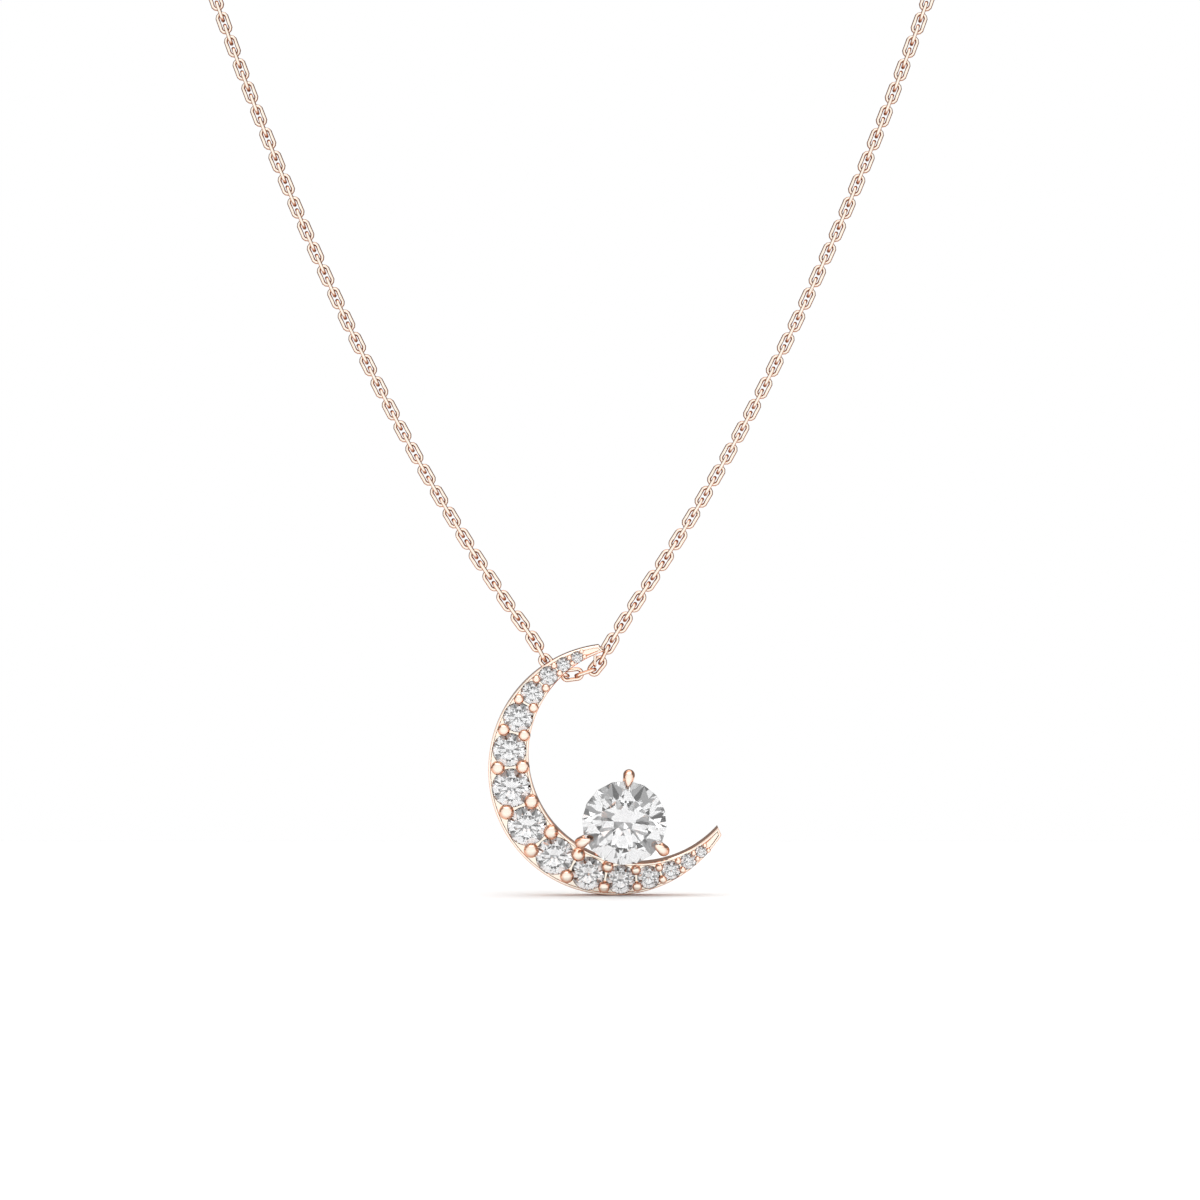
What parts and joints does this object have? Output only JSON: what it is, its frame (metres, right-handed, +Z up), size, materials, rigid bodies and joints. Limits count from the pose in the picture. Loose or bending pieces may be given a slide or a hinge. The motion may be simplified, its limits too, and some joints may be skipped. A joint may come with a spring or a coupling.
{
  "type": "pendant necklace",
  "caption": "Crescent moon pendant set with a graduated row of round stones and a claw-set centre stone, on a fine cable chain with a lobster clasp.",
  "frame": {"origin": "middle of the two places where the chain leaves the sides of the neck, which is the mount neck_rest", "axes": "+Z up, -Y the way the pendant faces, +X to the right as seen from the front"},
  "size_m": [0.0976, 0.062, 0.1708],
  "materials": {
    "pendant_metal": "polished rose gold",
    "chain_metal": "polished rose gold links",
    "clasp_metal": "polished rose gold",
    "spring_steel": "drawn spring steel",
    "row_stones": "faceted colourless stone",
    "centre_stone": "faceted colourless stone"
  },
  "bodies": {
    "nape": {"chain_nape_left": "chain_metal", "chain_nape_right": "chain_metal", "clasp_ring": "clasp_metal", "catch_ring": "clasp_metal"},
    "front": {"chain_front_left": "chain_metal", "chain_front_right": "chain_metal", "link_left_flat": "chain_metal", "link_in_bail": "chain_metal", "link_lowest": "chain_metal", "link_right_edge": "chain_metal", "link_in_tip_loop": "chain_metal", "link_right_last": "chain_metal"},
    "pendant": {"crescent_frame": "pendant_metal", "hidden_bail": "pendant_metal", "tip_loop": "pendant_metal", "base_ring": "pendant_metal", "prong_top": "pendant_metal", "prong_left": "pendant_metal", "prong_right": "pendant_metal", "head_bridge_left": "pendant_metal", "head_bridge_right": "pendant_metal", "pave_stone_01": "row_stones", "pave_stone_02": "row_stones", "pave_stone_03": "row_stones", "pave_stone_04": "row_stones", "pave_stone_05": "row_stones", "pave_stone_06": "row_stones", "pave_stone_07": "row_stones", "pave_stone_08": "row_stones", "pave_stone_09": "row_stones", "pave_stone_10": "row_stones", "pave_stone_11": "row_stones", "pave_stone_12": "row_stones", "pave_stone_13": "row_stones", "pave_stone_14": "row_stones", "pave_stone_15": "row_stones", "centre_stone": "centre_stone"},
    "clasp": {"clasp_body": "clasp_metal", "clasp_pin": "spring_steel", "clasp_spring": "spring_steel"},
    "trigger": {"clasp_trigger": "clasp_metal"},
    "tag": {"tag": "clasp_metal"}
  },
  "joints": [
    {"name": "front_swing", "type": "hinge", "parent": "nape", "child": "front", "pos_m": [0, 0, 0], "axis": [1, 0, 0], "range_deg": [-25, 5]},
    {"name": "pendant_swing", "type": "hinge", "parent": "front", "child": "pendant", "pos_m": [-0.00119, 0, -0.1289], "axis": [0.9765, 0, 0.2155], "range_deg": [-9, 28]},
    {"name": "clasp_roll", "type": "hinge", "parent": "nape", "child": "clasp", "pos_m": [0, 0.05631, 0.022], "axis": [1, 0, 0], "range_deg": [-8, 8]},
    {"name": "trigger_press", "type": "hinge", "parent": "clasp", "child": "trigger", "pos_m": [0.00155, 0.05631, 0.02255], "axis": [0, 1, 0], "range_deg": [-22, 0], "stiffness_Nm_per_rad": 0.002, "springref_deg": 5.73},
    {"name": "tag_swing", "type": "hinge", "parent": "nape", "child": "tag", "pos_m": [-0.00576, 0.0573, 0.022], "axis": [0.6157, 0.788, 0], "range_deg": [-18, 60]}
  ]
}
